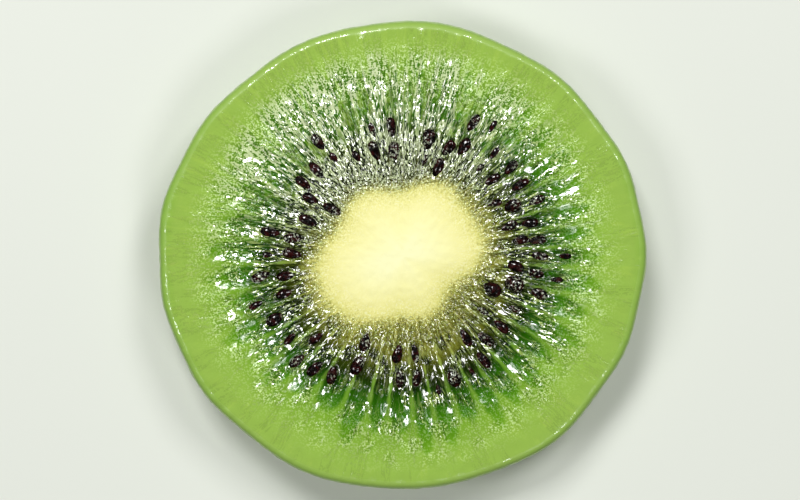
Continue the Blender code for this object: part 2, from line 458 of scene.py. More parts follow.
def near_seeds(turn, out):
    """How far each place is from the nearest seed, as a multiple of that seed's outline."""
    place = level(turn, out)
    nearest = np.full(np.shape(turn), FAR_FROM_SEEDS)
    for matrix, length, breadth in SEEDS:
        offset = place - np.array(matrix.translation)
        spin = matrix.to_euler().z
        along = offset[..., 0] * math.cos(spin) + offset[..., 1] * math.sin(spin)
        across = offset[..., 1] * math.cos(spin) - offset[..., 0] * math.sin(spin)
        distance = np.hypot(along / (length / 2), across / (breadth / 2))
        nearest = np.minimum(nearest, distance)
    return nearest


# Juice sacs


def grain_rate(out):
    """How fast the grain's own measure grows outwards: sacs are longer and wider further out."""
    return SAC_CIRCLE * read_off(SAC_SQUASH, out) / out


GRAIN_OUT = np.linspace(GRAIN_START, SAC_REACH[1], GRAIN_STEPS)
GRAIN_ALONG = np.cumsum(grain_rate(GRAIN_OUT)) * (GRAIN_OUT[1] - GRAIN_OUT[0])


def sac_place(turn, along):
    """A place among the sacs, where each is about as long as it is wide."""
    return (SAC_CIRCLE * math.cos(turn), SAC_CIRCLE * math.sin(turn), along)


def lay_sacs():
    """The middle of every sac, as a tree, and its height, two slopes and tone."""
    draw = random.Random(SAC_DRAW)
    size = 2 * math.pi * SAC_CIRCLE / SAC_COLUMNS
    start, end = np.interp(SAC_REACH, GRAIN_OUT, GRAIN_ALONG)
    rows = int((end - start) / size)
    tree = kdtree.KDTree(rows * SAC_COLUMNS)
    sacs = []
    for row in range(rows):
        for column in range(SAC_COLUMNS):
            turn = 2 * math.pi * (column + draw.random()) / SAC_COLUMNS
            tree.insert(sac_place(turn, start + size * (row + draw.random())), len(sacs))
            sacs.append((draw.uniform(*SAC_HEIGHTS),
                         draw.uniform(-SAC_SLOPE_ACROSS, SAC_SLOPE_ACROSS),
                         draw.uniform(-SAC_SLOPE_ALONG, SAC_SLOPE_ALONG), draw.random()))
    tree.balance()
    return tree, np.array(sacs)


SAC_TREE, SACS = lay_sacs()


def sacs_at(turn, out):
    """Relief of the juice sacs, the share of a crease between them, and each sac's tone."""
    which = np.zeros(np.shape(turn), int)
    across = np.zeros(np.shape(turn))
    along = np.zeros(np.shape(turn))
    inside = np.zeros(np.shape(turn))
    grain = np.interp(out, GRAIN_OUT, GRAIN_ALONG)
    for index in np.ndindex(np.shape(turn)):
        place = sac_place(turn[index], grain[index])
        (middle, first, near), (_, _, far) = SAC_TREE.find_n(place, 2)
        which[index] = first
        inside[index] = far - near
        side = (place[1] - middle[1]) * math.cos(turn[index])
        across[index] = side - (place[0] - middle[0]) * math.sin(turn[index])
        along[index] = place[2] - middle[2]
    height, slope_across, slope_along, tone = np.moveaxis(SACS[which], -1, 0)
    whole = smooth_step(inside, 0.0, SAC_CREASE)
    relief = (height + slope_across * across + slope_along * along) * whole
    return relief, 1.0 - whole, tone


def towards(side, start, turn):
    """1 where the slice faces one side, and less the further its turn is from that."""
    return smooth_step(0.5 + 0.5 * np.cos(turn - side), start, 1.0)


def dressed_face(turn, out):
    """Height of the modelled cut face, and what its finish reads there."""
    core = distance_of(CORE_EDGE, turn)
    share = share_of_way(turn, out)
    place = level(turn, out)
    calm = 1.0 - smooth_step(share, *RIM_CALM)
    wet = smooth_step(out - core, *WET_START) * calm
    lit_side = towards(LIT_SIDE_TURN, LIT_SIDE_START, turn)
    plain = towards(PLAIN_TURN, PLAIN_START, turn)
    ruffle = noise_at(place, RUFFLE_SIZE) + RUFFLE_LEVEL
    ruffle += LIT_SIDE_RUFFLE * lit_side - PLAIN_RUFFLE * plain
    murk = smooth_step(ruffle, *RUFFLE_EDGE)
    ruffled = 1.0 - (1.0 - murk) * smooth_step(out, *SMOOTH_PATCHES_START)
    juicy = smooth_step(out - core, *JUICY_START)
    juicy *= 1.0 - (1.0 - CALM_FLESH) * smooth_step(out, *JUICY_END)
    juicy *= SMOOTH_PATCH + (1.0 - SMOOTH_PATCH) * ruffled
    relief, crease, tone = sacs_at(turn, out)
    seed = near_seeds(turn, out)
    lip = SEED_LIP * np.exp(-((seed - LIP_MIDDLE) / LIP_SPREAD) ** 2)
    grain = CORE_GRAIN * noise_at(place, CORE_GRAIN_SIZE)
    height = face_height(turn, out) + grain * (1.0 - smooth_step(share, *CORE_GRAIN_END))
    height += (relief * juicy * smooth_step(seed, *SACS_START) + lip) * calm
    # On the side the key light comes from, the sacs' tone and the chambers are made paler: painted
    # light
    fields = {"crease": crease * juicy, "tone": tone + LIT_SIDE_PALE_TONE * lit_side, "seed": seed,
              "chamber": chamber_green(turn, out) * (1.0 - LIT_SIDE_PALER_CHAMBER * lit_side),
              "juicy": juicy, "wet": wet, "lit_side": lit_side, "ruffled": ruffled, "murk": murk}
    return height, fields


# Meshes


def joined(name, places, faces, finish, sharp=None):
    """A smooth-shaded piece from arrays of places and faces, set over the solid slice; edges
    sharper than an angle in degrees can stay sharp."""
    mesh = bpy.data.meshes.new(name)
    mesh.from_pydata((places + MIDDLE).tolist(), [], faces.tolist())
    mesh.materials.append(finish)
    mesh.shade_smooth()
    if sharp:
        mesh.set_sharp_from_angle(angle=math.radians(sharp))
    piece = bpy.data.objects.new(name, mesh)
    bpy.context.scene.collection.objects.link(piece)
    return piece


def give(piece, **fields):
    """Stores numbers, or triples of numbers, at a piece's points for its finish to read."""
    for name, values in fields.items():
        triple = values.shape[-1] == 3 and values.ndim == 2
        kind = "FLOAT_VECTOR" if triple else "FLOAT"
        field = piece.data.attributes.new(name, kind, "POINT")
        field.data.foreach_set("vector" if triple else "value", np.ravel(values).astype(np.float32))


def grid_faces(rings, columns, closed):
    """Faces of a grid that runs round its columns, and round its rings too if it is closed."""
    ring = np.arange(rings if closed else rings - 1)[:, None]
    column = np.arange(columns)[None, :]
    following = (column + 1) % columns
    below = (ring + 1) % rings
    corners = (ring * columns + column, below * columns + column,
               below * columns + following, ring * columns + following)
    return np.stack(np.broadcast_arrays(*corners), axis=-1).reshape(-1, 4)


def fan_faces(tip, first, columns, flipped=False):
    """Triangles from a tip to a ring of points that starts at the first one."""
    column = np.arange(columns)
    following = (column + 1) % columns
    if flipped:
        column, following = following, column
    return np.stack([np.full(columns, tip), first + column, first + following], axis=-1)


def halved(quads):
    """Two triangles for each four-sided face."""
    return np.vstack([quads[:, [0, 1, 2]], quads[:, [0, 2, 3]]])


def slice_turns():
    """Columns of the slice: the same number in every chamber, the first of them on its ray."""
    starts = np.array(RAYS + (RAYS[0] + 360,))
    steps = np.arange(COLUMNS_A_CHAMBER) / COLUMNS_A_CHAMBER
    degrees = starts[:-1, None] + (starts[1:] - starts[:-1])[:, None] * steps[None, :]
    return np.radians(degrees.ravel())[None, :]


def placed(turns, outs, heights):
    return np.stack([outs * np.cos(turns), outs * np.sin(turns), heights], axis=-1).reshape(-1, 3)


def grain_places(turns, along):
    """Places in which the grain of the flesh runs along the third axis, in millimetres."""
    circle = np.broadcast_to(SAC_CIRCLE, along.shape)
    return placed(turns, circle, along) / MM


def make_flesh(finish):
    """The ring of flesh, one closed body: cut face, rounded rim, peeled side and underside."""
    turn = slice_turns()
    inner = distance_of(CORE_EDGE, turn) + CORE_GAP / 2
    rim = distance_of(RIM, turn)
    face_share = np.linspace(0.0, 1.0, FACE_RINGS)[:, None] ** FACE_RING_CROWDING
    face_out = inner + face_share * (rim - EDGE_ROUNDING - inner)
    face_turn = turn + 0.0 * face_out
    top, fields = dressed_face(face_turn, face_out)

    bend = np.radians(RIM_BENDS)[:, None]
    edge_out = rim - EDGE_ROUNDING * (1.0 - np.sin(bend))
    edge_height = top[-1:] - EDGE_ROUNDING * (1.0 - np.cos(bend))

    down = np.linspace(0.0, 1.0, SIDE_RINGS + 2)[1:-1, None]
    side_height = edge_height[-1:] + down * (FOOT_ROUNDING - edge_height[-1:])
    side_out = rim + SIDE_BULGE * (1.0 - (2.0 * down - 1.0) ** 2) + 0.0 * side_height
    fibres = np.stack([np.cos(turn) * rim + 0.0 * side_out, np.sin(turn) * rim + 0.0 * side_out,
                       side_height * FIBRE_SQUASH], axis=-1)
    side_out += FIBRE_HEIGHT * noise_at(fibres, FIBRE_SIZE)

    bend = np.radians(FOOT_BENDS)[:, None]
    foot_out = rim - FOOT_ROUNDING * (1.0 - np.sin(bend))
    foot_height = FOOT_ROUNDING * (1.0 - np.cos(bend)) + 0.0 * turn
    under_out = inner + np.linspace(1.0, 0.0, UNDER_RINGS)[:, None] * (rim - FOOT_ROUNDING - inner)

    outs = np.vstack([face_out, edge_out, side_out, foot_out, under_out])
    heights = np.vstack([top, edge_height, side_height, foot_height, 0.0 * under_out])
    turns = turn + 0.0 * outs
    faces = grid_faces(len(outs), outs.shape[1], closed=True)
    places = placed(turns, outs, heights)
    piece = joined("flesh_dressed", places, faces, finish, sharp=SHARP_EDGE)

    step = np.hypot(np.diff(outs, axis=0), np.diff(heights, axis=0)) * grain_rate(outs[1:])
    first = np.interp(inner, GRAIN_OUT, GRAIN_ALONG)
    along = np.vstack([first, first + np.cumsum(step, axis=0)])
    ring = np.arange(len(outs))[:, None] + 0 * turn
    on_cut = (ring < FACE_RINGS + len(RIM_BENDS) - 1) | (ring >= len(outs) - UNDER_RINGS)
    _, under = dressed_face(turn + 0.0 * under_out, under_out)
    for name, values in fields.items():
        fields[name] = np.zeros(outs.shape)
        fields[name][:FACE_RINGS] = values
        fields[name][-UNDER_RINGS:] = under[name]
    fields["seed"][FACE_RINGS:-UNDER_RINGS] = FAR_FROM_SEEDS
    fields["tone"][FACE_RINGS:-UNDER_RINGS] = MIDDLING_TONE
    fields["chamber"] = chamber_green(turns, outs)
    give(piece, grain=grain_places(turns, along), spot=places / MM, out=outs / MM,
         past=(outs - distance_of(CORE_EDGE, turns)) / MM, cut=on_cut.astype(float), **fields)
    return piece


def make_core(finish):
    """The core, a closed plug that fills the hole in the flesh."""
    turn = slice_turns()
    edge = distance_of(CORE_EDGE, turn) + CORE_GAP / 2
    share = np.linspace(0.0, 1.0, CORE_RINGS + 1)[1:, None] ** CORE_RING_CROWDING
    out = share * edge
    top, fields = dressed_face(turn + 0.0 * out, out)
    outs = np.vstack([out, edge])
    heights = np.vstack([top, 0.0 * edge])
    turns = turn + 0.0 * outs
    columns = turn.size
    ring = placed(turns, outs, heights)
    places = np.vstack([ring, [[0.0, 0.0, top[0].mean()], [0.0, 0.0, 0.0]]])
    tip = len(ring)
    faces = np.vstack([halved(grid_faces(len(outs), columns, closed=False)),
                       fan_faces(tip, 0, columns),
                       fan_faces(tip + 1, tip - columns, columns, flipped=True)])
    piece = joined("core_dressed", places, faces, finish, sharp=SHARP_EDGE)

    at_tips = np.zeros(2)
    for name, values in fields.items():
        fields[name] = np.append(np.vstack([values, values[-1:]]), at_tips)
    past = (outs - distance_of(CORE_EDGE, turns)) / MM
    along = np.interp(outs, GRAIN_OUT, GRAIN_ALONG)
    grain = np.vstack([grain_places(turns, along), np.zeros((2, 3))])
    give(piece, grain=grain, spot=places / MM, out=np.append(outs / MM, at_tips),
         past=np.append(past, at_tips + past.min()), cut=np.ones(len(places)), **fields)
    return piece


def seed_shape(length, breadth):
    """Points of a flattened drop lying along X, its narrow end towards -X."""
    turn = math.pi * np.arange(1, SEED_RINGS + 1)[:, None] / (SEED_RINGS + 1)
    side = 2 * math.pi * np.arange(SEED_SIDES)[None, :] / SEED_SIDES
    along = -np.cos(turn) + 0.0 * side
    across = np.sin(turn) * (1.0 + SEED_POINT * along)
    body = np.stack([along * length / 2, across * np.cos(side) * breadth / 2,
                     across * np.sin(side) * breadth / 2 * SEED_FLATNESS], axis=-1)
    tips = np.array([[-length / 2, 0.0, 0.0], [length / 2, 0.0, 0.0]])
    return np.vstack([body.reshape(-1, 3), tips])


def seed_faces():
    """Faces of one seed: its sides as a grid, and a fan at each tip, all as triangles."""
    grid = halved(grid_faces(SEED_RINGS, SEED_SIDES, closed=False))
    tip = SEED_RINGS * SEED_SIDES
    return np.vstack([grid[:, ::-1], fan_faces(tip, 0, SEED_SIDES, flipped=True),
                      fan_faces(tip + 1, tip - SEED_SIDES, SEED_SIDES)])


def make_seeds(finish):
    """The seeds in the cut face, and below them those that the knife met on the underside."""
    one = seed_faces()
    places = []
    faces = []
    for under in (False, True):
        for matrix, length, breadth in SEEDS:
            shape = seed_shape(length, breadth)
            dents = SEED_DENT * noise_at(shape + np.array(matrix.translation), SEED_DENT_SIZE)
            shape *= (1.0 + dents / (breadth / 2))[:, None]
            turned = shape @ np.array(matrix.to_3x3()).T + np.array(matrix.translation)
            if under:
                turned[:, 2] -= matrix.translation.z - breadth / 4
                turned[:, 2] = np.maximum(turned[:, 2], -CUT_SEED_SHOWS)
            faces.append(one + len(turned) * len(faces))
            places.append(turned)
    return joined("seeds", np.vstack(places), np.vstack(faces), finish)


# Finishes


# Screen colours of the core by millimetres past its edge, and of the pale rays and the chambers
# by millimetres out from the middle of the rays
CORE_COLOURS = (
    (-6.5, (255, 254, 197)), (-4.0, (253, 250, 181)), (-2.2, (248, 244, 166)),
    (-1.0, (240, 236, 148)), (-0.1, (226, 223, 124)), (0.8, (200, 199, 92)),
    (1.7, (166, 167, 62)), (2.7, (122, 124, 38)))
RAY_COLOURS = (
    (8.0, (206, 203, 104)), (10.5, (166, 176, 78)), (13.0, (118, 160, 58)),
    (15.5, (108, 156, 40)), (18.0, (132, 177, 54)), (20.5, (154, 192, 78)),
    (23.0, (154, 190, 82)), (24.5, (138, 182, 66)))
CHAMBER_COLOURS = (
    (8.0, (164, 165, 62)), (9.2, (122, 126, 38)), (10.4, (60, 72, 10)), (12.0, (28, 50, 3)),
    (13.6, (32, 78, 3)), (15.2, (46, 106, 4)), (17.0, (70, 134, 9)), (19.5, (116, 169, 36)))

# Colours laid over those, and the colours of the side, the seeds and the floor
PALE_FLESH = srgb(186, 216, 88)
SEED_SHADE = srgb(20, 26, 8)
# Painted shade laid into the creases between the juice sacs
PAINTED_CREASE_SHADE = srgb(6, 16, 2)
OLIVE_GAP = srgb(132, 128, 46)
DARK_GAP = srgb(6, 16, 0)
GREEN_GAP = srgb(20, 58, 2)
CREAM_STROKE = srgb(255, 254, 206)
GREEN_STROKE = srgb(214, 238, 130)
PALE_GRANULE = srgb(208, 238, 156)
GREEN_GRANULE = srgb(84, 140, 24)
# Painted shade in hollows between the crests of the painted sheen, and the sheen itself, a painted
# highlight on the side the key light comes from
DARK_HOLLOW_SHADE = srgb(14, 26, 4)
GREEN_HOLLOW_SHADE = srgb(46, 104, 12)
PAINTED_SHEEN = srgb(238, 252, 200)
SIDE_COLOURS = (srgb(136, 182, 56), srgb(172, 206, 98))
SEED_COLOURS = (srgb(6, 2, 2), srgb(60, 16, 15))
# Pale painted glints on the juice film of some seeds
SEED_PAINTED_GLINT = srgb(196, 206, 178)
FLOOR_COLOURS = (srgb(228, 232, 222), srgb(234, 238, 228))

# Where things change on the cut face, in millimetres past the core's edge
BORDER = (-0.4, 1.8)
CORE_ROUGHENS = (-3.5, 1.5)
STROKES_LENGTHEN = (0.0, 2.5)
CURLS_START = (-0.5, 1.5)
GAPS_DARKEN = (0.0, 2.5)
DARK_STROKES_START = (-2.5, 2.0)
LIGHT_STROKES_START = (-4.5, 0.5)
LIGHT_STROKES_GREEN = (-1.5, 1.5)
LIGHT_STROKES_THIN = (1.5, 4.0)

# and in millimetres out from the middle of the rays
LIGHT_STROKES_STRONG = (10.5, 13.0)
CLUSTERS_START = (11.0, 13.5)
HOLLOW_SHADES_GREEN = (12.0, 15.0)
PLAIN_CHAMBERS_END = (12.0, 15.0)
GAPS_GREEN = (12.5, 15.5)
OUTER_GLINTS = (13.5, 16.0)
DARK_STROKES_FADE = (13.5, 16.5)
STROKES_TURN_TO_DOTS = (14.0, 17.5)
GRANULES_START = (14.5, 18.0)
STROKES_FADE = (17.5, 22.0)
PAINTED_SHEEN_END = (18.5, 21.5)
RIM_SMOOTHS = (19.0, 22.5)

# Levels of a noise or field between which a mark comes in
CHAMBER_LEVELS = (0.15, 0.9)
SEED_SHADE_LEVELS = (1.0, 1.7)
PALE_STREAK_LEVELS = (0.45, 0.75)
PALE_SAC_AND_GLINT_LEVELS = (0.90, 1.20)
CLUSTER_LEVELS = (0.44, 0.55)
DARK_STROKE_LEVELS = (0.41, 0.46)
LIGHT_STROKE_LEVELS = (0.54, 0.58)
PALE_GRANULE_LEVELS = (0.52, 0.60)
GREEN_GRANULE_LEVELS = (0.36, 0.47)
HOLLOW_SHADE_LEVELS = (0.45, 0.49)
PAINTED_SHEEN_LEVELS = (0.49, 0.525)
GLINT_LEVELS = (0.50, 0.53)
SIDE_STREAK_LEVELS = (0.3, 0.7)
NET_LEVELS = (0.0, 0.2)
RED_PATCH_LEVELS = (0.42, 0.66)
FILMED_SEED_LEVELS = (0.49, 0.66)
PAINTED_DROP_GLINT_LEVELS = (0.54, 0.59)
SHINY_LEVELS = (0.52, 0.57)

# Noises, in patches a millimetre; those with a shortness below 1 are longer along the grain
STREAKS = {"shortness": 0.25, "scale": 2.4, "detail": 4.0, "roughness": 0.6}
STROKES = {"shortness": 0.4, "scale": 4.0, "detail": 2.0, "roughness": 0.6}
CLUSTERS = {"shortness": 0.45, "scale": 0.9, "detail": 2.0}
CURLS = {"shortness": 0.6, "scale": 2.6, "detail": 1.0}
MOTTLE = {"shortness": 0.8, "scale": 0.9}
GRIT = {"scale": 4.2, "detail": 3.0, "roughness": 0.6}
CLOUDS = {"scale": 0.6, "detail": 2.0}
DOTS = {"scale": 5.0, "detail": 2.0, "roughness": 0.6}
GRANULES = {"scale": 5.0, "detail": 1.0}
DIMPLES = {"scale": 2.2, "detail": 2.0}
SEED_PATCHES = {"scale": 2.2, "detail": 3.0}
SEED_JUICE = {"scale": 0.45, "detail": 0.0}
DROPS = {"scale": 4.4, "detail": 2.0, "roughness": 0.6}

# The floor's noise, in patches a metre
FLOOR_CLOUDS = {"scale": 12.0, "detail": 2.0}

# Waves in one unit of noise, in radians: wide curls, and threads finer than them
CURL_WAVES = 24.0
THREAD_WAVES = 38.0

# How far noises and the rays move the colours of the core and its border, and how far the side the
# key light comes from, as painted light, and the smooth patches move those of the chambers, in
# millimetres
CORE_CLOUDS = 0.8
CORE_GRIT = 1.4
CORE_STREAKS = 2.2
BORDER_GRIT = 1.2
BORDER_STREAKS = 3.0
BORDER_RAYS = 0.7
LIT_SIDE_PALER_GREEN = 2.2
PLAIN_GREEN = 1.2

# How strongly marks show, as shares; pairs are for the rays and the chambers
SEED_SHADE_SHARE = 0.4
CREASE_SHADE_SHARES = (0.2, 0.85)
CREASE_SHADE_DEPTH = 0.8
PALER_SHARE = 0.5
PALE_STREAK_SHARE = 0.5
PALE_SAC_AND_GLINT_SHARE = 0.6
LIT_SIDE_PALE_WASH_SHARE = 0.1
GAP_DEPTH = 0.9
DARK_STROKE_SHARES = (0.6, 0.95)
PALE_GRANULE_SHARES = (0.85, 0.55)
GREEN_GRANULE_SHARES = (0.3, 0.7)
HOLLOW_SHADE_SHARE = 0.75
PAINTED_SHEEN_SHARE = 0.9
SEED_PAINTED_GLINT_SHARE = 0.7

# The same, but pairs are for near the core and further out
LIGHT_STROKE_DEPTHS = (0.65, 0.80)
LIGHT_STROKE_SHARES = (0.95, 0.80)

# What marks keep of that at the rim, on the core, in smooth patches, between the clusters, and
# on the lines of the seeds' net
RIM_STROKES = 0.3
RIM_DARK_STROKES = 0.6
CALM_CUT = 0.55
SMOOTH_STROKES = 0.2
SMOOTH_MARKS = 0.35
SPARSE_STROKES = 0.25
SPARSE_PAINTED_SHEEN = 0.15
SPARSE_GLINTS = 0.1
RED_ON_NET = 0.35

# How much of one noise, wave or field is added to another
MOTTLE_IN_CHAMBERS = 0.7
GRIT_IN_CHAMBERS = 0.4
LIT_SIDE_IN_CLUSTERS = 0.03
CURLS_IN_MARKS = 0.06
CURLS_IN_SQUIGGLES = 0.05
MARKS_IN_SQUIGGLES = 0.8
CLOUDS_IN_GRANULES = 0.12
LIT_SIDE_IN_GLINTS = 0.02
THREADS_IN_GLINTS = 0.045
FILM_IN_SHINE = 0.03

# What is added to the glints' noise, for more of them, and taken off it further out, for fewer
MORE_GLINTS = 0.032
FEWER_OUTER_GLINTS = 0.042

# Facets of the crumpled film and the net on the seeds, in cells a millimetre, and their heights
# and those of the dimples and patches, in millimetres
FACETS = (2.6, 2.6, 2.34)
FACET_EDGE = (0.0, 0.12)
FACET_HEIGHT = 0.38
DIMPLE_HEIGHT = 0.03
NET_CELLS = 5.2
NET_HEIGHT = 0.02
SEED_PATCH_HEIGHT = 0.06

# Roughness and refractive index; the films' are set for glints as bright as the photograph's
SIDE_ROUGHNESS = 0.36
CUT_ROUGHNESS = 0.60
WET_ROUGHNESS = 0.10
SEED_ROUGHNESS = 0.2
FILM_ROUGHNESS = 0.05
FLOOR_ROUGHNESS = 0.7
FRUIT_IOR = 1.42
SEED_IOR = 1.15
FILM_IOR = 2.4
SEED_FILM_IOR = 1.6


class CutFinish(Finish):
    """Wet cut fruit in the making, with what its colours share: fields of the mesh and noises."""

    def __init__(self, name):
        super().__init__(name)
        self.grain = self.attribute("grain", "Vector")
        self.spot = self.attribute("spot", "Vector")
        self.out = self.attribute("out")
        self.past = self.attribute("past")
        self.chamber = self.attribute("chamber")
        self.crease = self.attribute("crease")
        self.tone = self.attribute("tone")
        self.juicy = self.attribute("juicy")
        self.wet = self.attribute("wet")
        self.cut = self.attribute("cut")
        self.seed = self.attribute("seed")
        self.lit_side = self.attribute("lit_side")
        self.ruffled = self.attribute("ruffled")
        self.murk = self.attribute("murk")
        self.murky = self.murk.at_least(SMOOTH_MARKS)
        self.streaks = self.drawn_out(**STREAKS)
        self.grit = self.noise(self.spot, **GRIT)
        self.clouds = self.noise(self.spot, **CLOUDS)
        curls = self.drawn_out(**CURLS)
        self.curls = (curls * CURL_WAVES).math("SINE")
        self.threads = (curls * THREAD_WAVES).math("SINE")
        self.in_chamber = self.broken_chamber()
        self.busy = self.clusters()
        self.rough_cut = (self.past.between(*CORE_ROUGHENS).at_least(CALM_CUT)
                          - self.out.between(*RIM_SMOOTHS) * (1.0 - CALM_CUT))
        self.fine = self.fine_marks()
        curls = self.curls * CURLS_IN_SQUIGGLES * self.rough_cut
        self.squiggles = 0.5 + self.fine.swing(MARKS_IN_SQUIGGLES) + curls

    def drawn_out(self, shortness, **settings):
        """Noise that is longer along the grain the smaller its shortness."""
        place = self.vector("MULTIPLY", self.grain, (1.0, 1.0, shortness))
        return self.noise(place, **settings)

    def broken_chamber(self):
        """1 in the green of the chambers, with an uneven edge."""
        mottle = self.drawn_out(**MOTTLE).swing(MOTTLE_IN_CHAMBERS)
        broken = (mottle + self.grit.swing(GRIT_IN_CHAMBERS)) * self.murky
        return (self.chamber + broken).between(*CHAMBER_LEVELS)

    def clusters(self):
        """1 where marks and glints crowd: all over near the core, and in clusters further out."""
        crowded = self.drawn_out(**CLUSTERS) + self.lit_side * LIT_SIDE_IN_CLUSTERS
        busy = crowded.between(*CLUSTER_LEVELS) + self.out.until(*CLUSTERS_START)
        return busy.between(0.0, 1.0)

    def fine_marks(self):
        """A noise about 0.5 for the finest marks: dots, strokes with curls, then dots again."""
        dots = self.noise(self.spot, **DOTS)
        strokes = self.drawn_out(**STROKES)
        drawn = self.past.between(*STROKES_LENGTHEN) - self.out.between(*STROKES_TURN_TO_DOTS)
        fine = dots + (strokes - dots) * drawn
        fine = fine + self.curls * CURLS_IN_MARKS * self.past.between(*CURLS_START)
        return 0.5 + fine.swing(self.rough_cut)

    def core_colour(self):
        """Cream that turns olive towards the border, unevenly."""
        uneven = self.clouds.swing(CORE_CLOUDS) + self.grit.swing(CORE_GRIT)
        return self.ramp(self.past + uneven + self.streaks.swing(CORE_STREAKS), CORE_COLOURS)

    def flesh_colour(self):
        """Pale rays and dark chambers, shaded at seeds, with painted shade in the sac creases,
        paler streaks, pale sacs partly painted highlight, and a painted pale wash on the lit side.
        """
        rays = self.ramp(self.out, RAY_COLOURS)
        plain = (1.0 - self.murk) * self.out.until(*PLAIN_CHAMBERS_END)
        # Chambers are painted paler on the side the key light comes from
        moved = self.out + self.lit_side * LIT_SIDE_PALER_GREEN - plain * PLAIN_GREEN
        flesh = self.mix(self.in_chamber, rays, self.ramp(moved, CHAMBER_COLOURS))
        shade = self.seed.until(*SEED_SHADE_LEVELS) * SEED_SHADE_SHARE
        flesh = self.mix(shade, flesh, SEED_SHADE)
        # Painted shade in the creases between the juice sacs, stronger in the chambers than on the
        # rays
        crease = self.crease * self.in_chamber.run(*CREASE_SHADE_SHARES)
        flesh = self.mix(crease, flesh, self.mix(CREASE_SHADE_DEPTH, flesh, PAINTED_CREASE_SHADE))
        paler = self.mix(PALER_SHARE, flesh, PALE_FLESH)
        streaks = self.streaks.between(*PALE_STREAK_LEVELS) * PALE_STREAK_SHARE * self.ruffled
        flesh = self.mix(streaks, flesh, paler)
        # Pale sacs are pale tissue and partly a painted highlight standing in for glints; the pale
        # wash on the side the key light comes from is painted light
        sacs = self.tone.between(*PALE_SAC_AND_GLINT_LEVELS) * self.juicy * PALE_SAC_AND_GLINT_SHARE
        return self.mix(sacs + self.lit_side * self.wet * LIT_SIDE_PALE_WASH_SHARE, flesh, paler)

    def stroked(self, colour):
        """Adds dark gaps and light strokes, which thin out towards the rim."""
        amount = self.out.until(*STROKES_FADE).at_least(RIM_STROKES)
        amount = amount * self.ruffled.at_least(SMOOTH_STROKES)
        amount = amount * self.busy.at_least(SPARSE_STROKES)
        gap = self.mix(self.out.between(*GAPS_GREEN), DARK_GAP, GREEN_GAP)
        gap = self.mix(self.past.between(*GAPS_DARKEN), OLIVE_GAP, gap)
        darker = self.mix(GAP_DEPTH, colour, gap)
        stroke = self.mix(self.past.between(*LIGHT_STROKES_GREEN), CREAM_STROKE, GREEN_STROKE)
        depth = self.out.between(*LIGHT_STROKES_STRONG).run(*LIGHT_STROKE_DEPTHS)
        lighter = self.mix(depth, colour, stroke)
        dark = self.fine.until(*DARK_STROKE_LEVELS) * amount
        dark = dark * self.in_chamber.run(*DARK_STROKE_SHARES) * self.murky
        dark = dark * self.past.between(*DARK_STROKES_START)
        dark = dark * self.out.until(*DARK_STROKES_FADE).at_least(RIM_DARK_STROKES)
        colour = self.mix(dark, colour, darker)
        light = self.fine.between(*LIGHT_STROKE_LEVELS) * amount
        light = light * self.past.between(*LIGHT_STROKES_THIN).run(*LIGHT_STROKE_SHARES)
        return self.mix(light * self.past.between(*LIGHT_STROKES_START), colour, lighter)

    def granulated(self, colour):
        """Adds the pale and green granules of the outer flesh."""
        granules = self.noise(self.spot, **GRANULES) + self.clouds.swing(CLOUDS_IN_GRANULES)
        granular = self.out.between(*GRANULES_START) * self.out.until(*RIM_SMOOTHS) * self.murky
        pale = granular * granules.between(*PALE_GRANULE_LEVELS)
        pale = pale * self.in_chamber.run(*PALE_GRANULE_SHARES)
        green = granular * granules.until(*GREEN_GRANULE_LEVELS)
        green = green * self.in_chamber.run(*GREEN_GRANULE_SHARES)
        return self.mix(green, self.mix(pale, colour, PALE_GRANULE), GREEN_GRANULE)

    def painted_sheen(self, colour):
        """Adds a painted highlight, a pale sheen, on the side the key light comes from, with
        painted shade in the hollows between its crests.
        """
        share = self.lit_side * self.wet * self.busy.at_least(SPARSE_PAINTED_SHEEN)
        share = share * self.out.until(*PAINTED_SHEEN_END)
        hollow_shade = self.mix(self.out.between(*HOLLOW_SHADES_GREEN), DARK_HOLLOW_SHADE, GREEN_HOLLOW_SHADE)
        hollow_shades = share * self.squiggles.until(*HOLLOW_SHADE_LEVELS) * HOLLOW_SHADE_SHARE
        sheen_share = share * self.squiggles.between(*PAINTED_SHEEN_LEVELS) * PAINTED_SHEEN_SHARE
        return self.mix(sheen_share, self.mix(hollow_shades, colour, hollow_shade), PAINTED_SHEEN)

    def glinting_film(self):
        """Where the wet film glints, in crumpled strokes near the core and threads further out."""
        outer = self.out.between(*OUTER_GLINTS)
        glints = self.squiggles + self.lit_side * LIT_SIDE_IN_GLINTS
        glints = glints + MORE_GLINTS - outer * FEWER_OUTER_GLINTS
        glints = glints + self.threads * THREADS_IN_GLINTS * outer * self.rough_cut
        return self.wet * self.busy.at_least(SPARSE_GLINTS) * glints.between(*GLINT_LEVELS)

    def relief(self):
        """Small flat facets, each tilted its own way, as of crumpled film, over soft dimples."""
        place = self.vector("MULTIPLY", self.grain, FACETS)
        offset = self.vector("SUBTRACT", place, self.cells(place, "Position"))
        tilt = self.vector("SUBTRACT", self.cells(place, "Color"), (0.5, 0.5, 0.5))
        inside = self.cells(place, "Distance", feature="DISTANCE_TO_EDGE").between(*FACET_EDGE)
        facets = self.vector("DOT_PRODUCT", offset, tilt, output="Value") * inside * FACET_HEIGHT
        return facets * self.juicy + self.noise(self.spot, **DIMPLES) * DIMPLE_HEIGHT

    def roughness(self):
        """That of the peeled side, or of the cut face, where the wet flesh is smoother."""
        cut = self.cut * (CUT_ROUGHNESS - SIDE_ROUGHNESS)
        return SIDE_ROUGHNESS + cut - self.wet * (CUT_ROUGHNESS - WET_ROUGHNESS)


